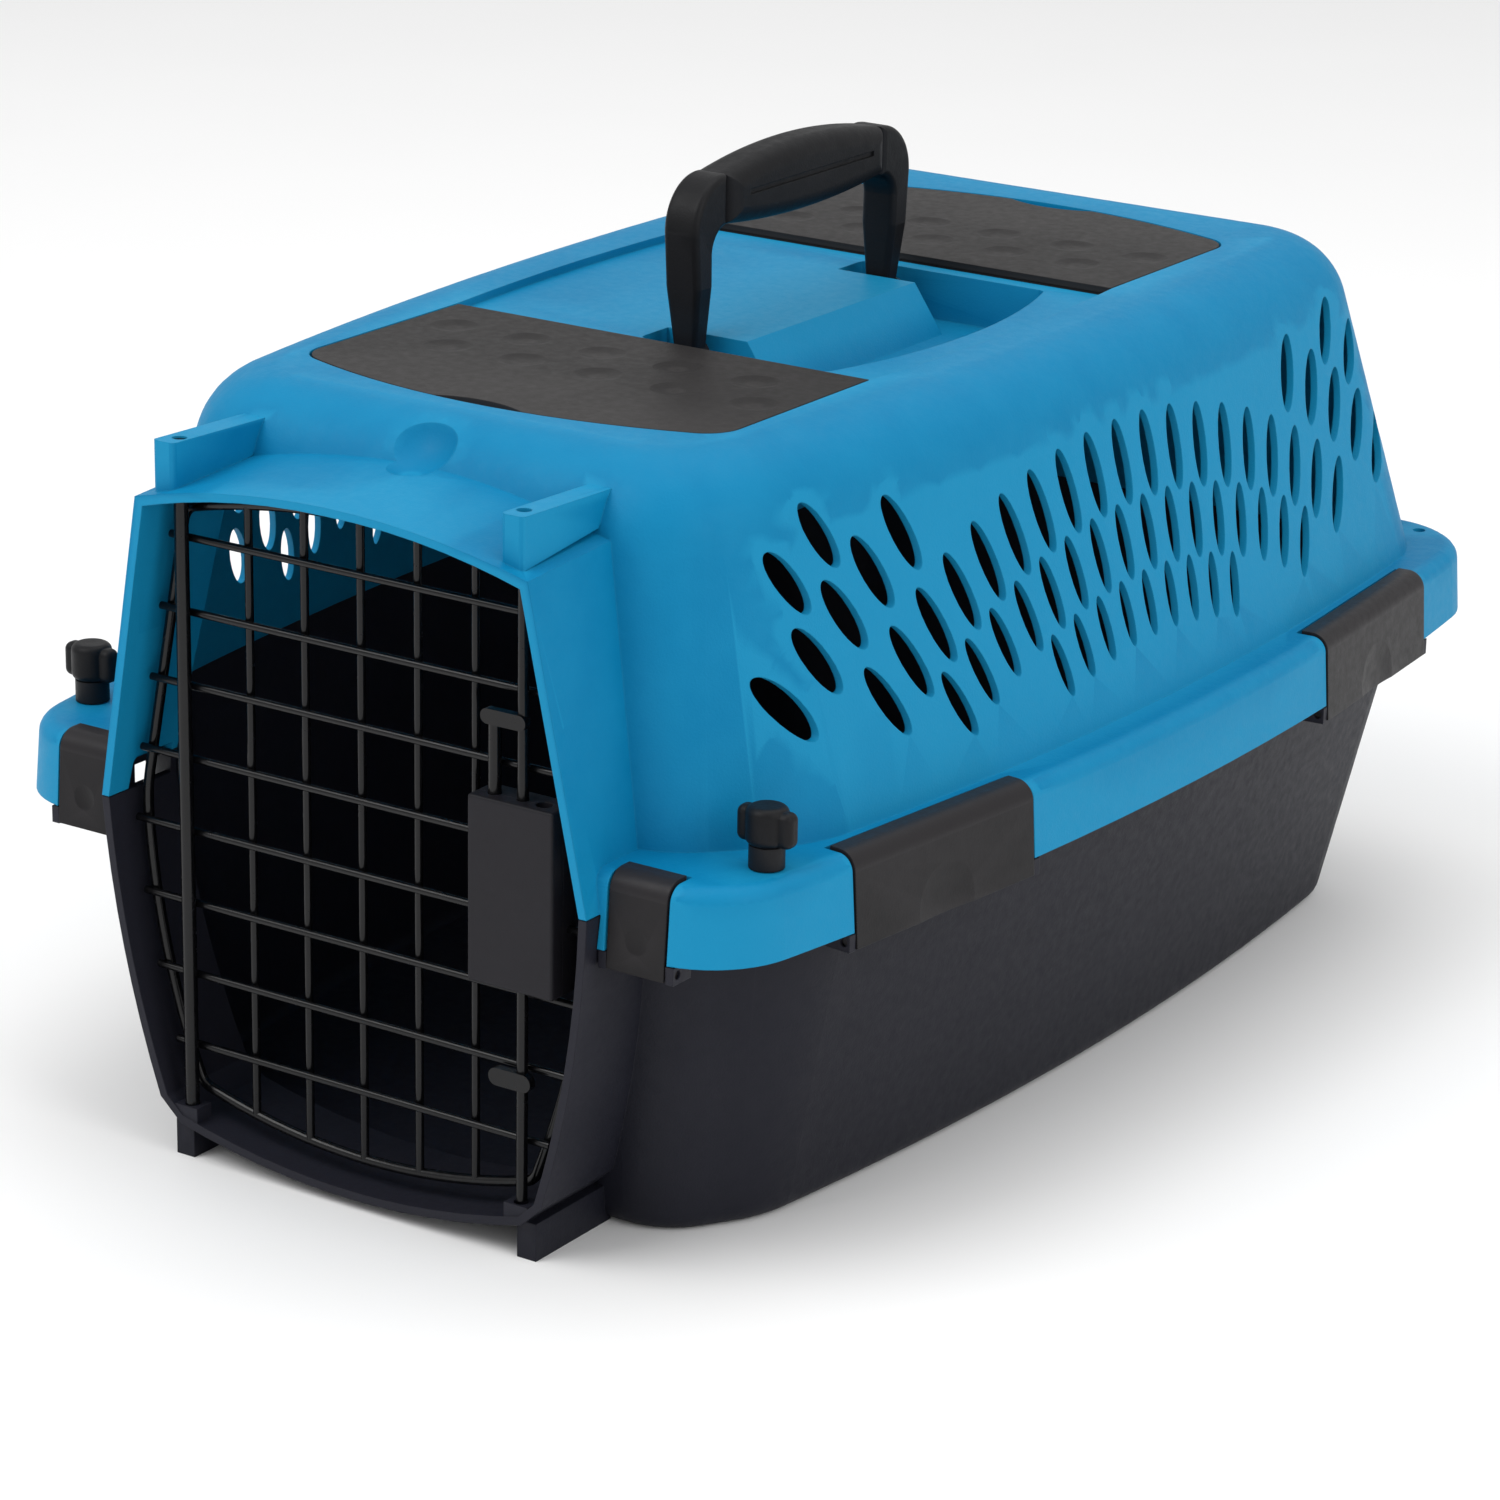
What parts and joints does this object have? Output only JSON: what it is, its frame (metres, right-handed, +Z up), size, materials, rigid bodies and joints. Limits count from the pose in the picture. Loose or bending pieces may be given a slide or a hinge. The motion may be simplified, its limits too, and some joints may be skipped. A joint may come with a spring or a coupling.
{
  "type": "pet transport carrier",
  "caption": "Hard-sided pet carrier with a clipped-on top shell, a wire door with sliding latch rods, roof storage lids and a folding carry handle.",
  "frame": {"origin": "bottom centre of the whole carrier, on the surface that it stands on", "axes": "+Z up, -Y towards the door, +X to the right when facing the door from outside; the length runs along Y"},
  "size_m": [0.367, 0.556, 0.337],
  "materials": {
    "shell_blue": "fine grained matte polypropylene",
    "shell_charcoal": "fine grained matte polypropylene",
    "clip_brown_black": "satin moulded",
    "lid_brown_grey": "fine grained matte",
    "wire_black": "gloss black coated steel wire",
    "housing_charcoal": "satin moulded",
    "handle_black": "fine grained matte",
    "grip_black": "fine grained matte",
    "steel_pin": "plain steel"
  },
  "bodies": {
    "carrier": {"base_shell": "shell_charcoal", "top_shell": "shell_blue", "handle_pin_front": "steel_pin", "handle_pin_rear": "steel_pin", "lock_bolt_right": "steel_pin", "lock_bolt_left": "steel_pin"},
    "door": {"door_outline_wire": "wire_black", "door_upright_wires": "wire_black", "door_cross_wires": "wire_black", "door_hinge_rod": "wire_black", "latch_housing_front": "housing_charcoal", "latch_housing_back": "housing_charcoal"},
    "upper_latch": {"upper_latch_rod": "wire_black"},
    "lower_latch": {"lower_latch_rod": "wire_black"},
    "handle": {"handle_frame": "handle_black", "handle_grip": "grip_black"},
    "front_lid": {"front_storage_lid": "lid_brown_grey"},
    "rear_lid": {"rear_storage_lid": "lid_brown_grey"},
    "side_clip_front_right": {"side_clip_front_right": "clip_brown_black"},
    "side_clip_front_left": {"side_clip_front_left": "clip_brown_black"},
    "side_clip_rear_right": {"side_clip_rear_right": "clip_brown_black"},
    "side_clip_rear_left": {"side_clip_rear_left": "clip_brown_black"},
    "front_clip_right": {"front_clip_right": "clip_brown_black"},
    "front_clip_left": {"front_clip_left": "clip_brown_black"},
    "wing_knob_right": {"wing_knob_right": "handle_black"},
    "wing_knob_left": {"wing_knob_left": "handle_black"}
  },
  "joints": [
    {"name": "door_hinge", "type": "hinge", "parent": "carrier", "child": "door", "pos_m": [-0.0727, -0.2655, 0.14], "axis": [0, 0, -1], "range_deg": [0, 100]},
    {"name": "upper_latch_slide", "type": "slide", "parent": "door", "child": "upper_latch", "axis": [0, 0, 1], "range_m": [0, 0.012]},
    {"name": "lower_latch_slide", "type": "slide", "parent": "door", "child": "lower_latch", "axis": [0, 0, -1], "range_m": [0, 0.006]},
    {"name": "handle_fold", "type": "hinge", "parent": "carrier", "child": "handle", "pos_m": [0, 0.0025, 0.2655], "axis": [0, 1, 0], "range_deg": [0, 90]},
    {"name": "front_lid_hinge", "type": "hinge", "parent": "carrier", "child": "front_lid", "pos_m": [0, -0.086, 0.2725], "axis": [-1, 0, 0], "range_deg": [0, 82]},
    {"name": "rear_lid_hinge", "type": "hinge", "parent": "carrier", "child": "rear_lid", "pos_m": [0, 0.091, 0.2725], "axis": [1, 0, 0], "range_deg": [0, 82]},
    {"name": "side_clip_front_right_hinge", "type": "hinge", "parent": "carrier", "child": "side_clip_front_right", "pos_m": [0.16903, -0.15412, 0.1178], "axis": [0.1183, 0.993, 0], "range_deg": [0, 110]},
    {"name": "side_clip_front_left_hinge", "type": "hinge", "parent": "carrier", "child": "side_clip_front_left", "pos_m": [-0.16903, -0.15412, 0.1178], "axis": [0.1183, -0.993, 0], "range_deg": [0, 110]},
    {"name": "side_clip_rear_right_hinge", "type": "hinge", "parent": "carrier", "child": "side_clip_rear_right", "pos_m": [0.17559, 0.15725, 0.1178], "axis": [-0.0768, 0.997, 0], "range_deg": [0, 110]},
    {"name": "side_clip_rear_left_hinge", "type": "hinge", "parent": "carrier", "child": "side_clip_rear_left", "pos_m": [-0.17559, 0.15725, 0.1178], "axis": [-0.0768, -0.997, 0], "range_deg": [0, 110]},
    {"name": "front_clip_right_hinge", "type": "hinge", "parent": "carrier", "child": "front_clip_right", "pos_m": [0.1195, -0.2638, 0.1178], "axis": [1, 0, 0], "range_deg": [0, 110]},
    {"name": "front_clip_left_hinge", "type": "hinge", "parent": "carrier", "child": "front_clip_left", "pos_m": [-0.1195, -0.2638, 0.1178], "axis": [1, 0, 0], "range_deg": [0, 110]},
    {"name": "wing_knob_right_turn", "type": "hinge", "parent": "carrier", "child": "wing_knob_right", "pos_m": [0.1464, -0.2295, 0.16], "axis": [0, 0, 1], "continuous": true},
    {"name": "wing_knob_left_turn", "type": "hinge", "parent": "carrier", "child": "wing_knob_left", "pos_m": [-0.1464, -0.2295, 0.16], "axis": [0, 0, 1], "continuous": true}
  ]
}
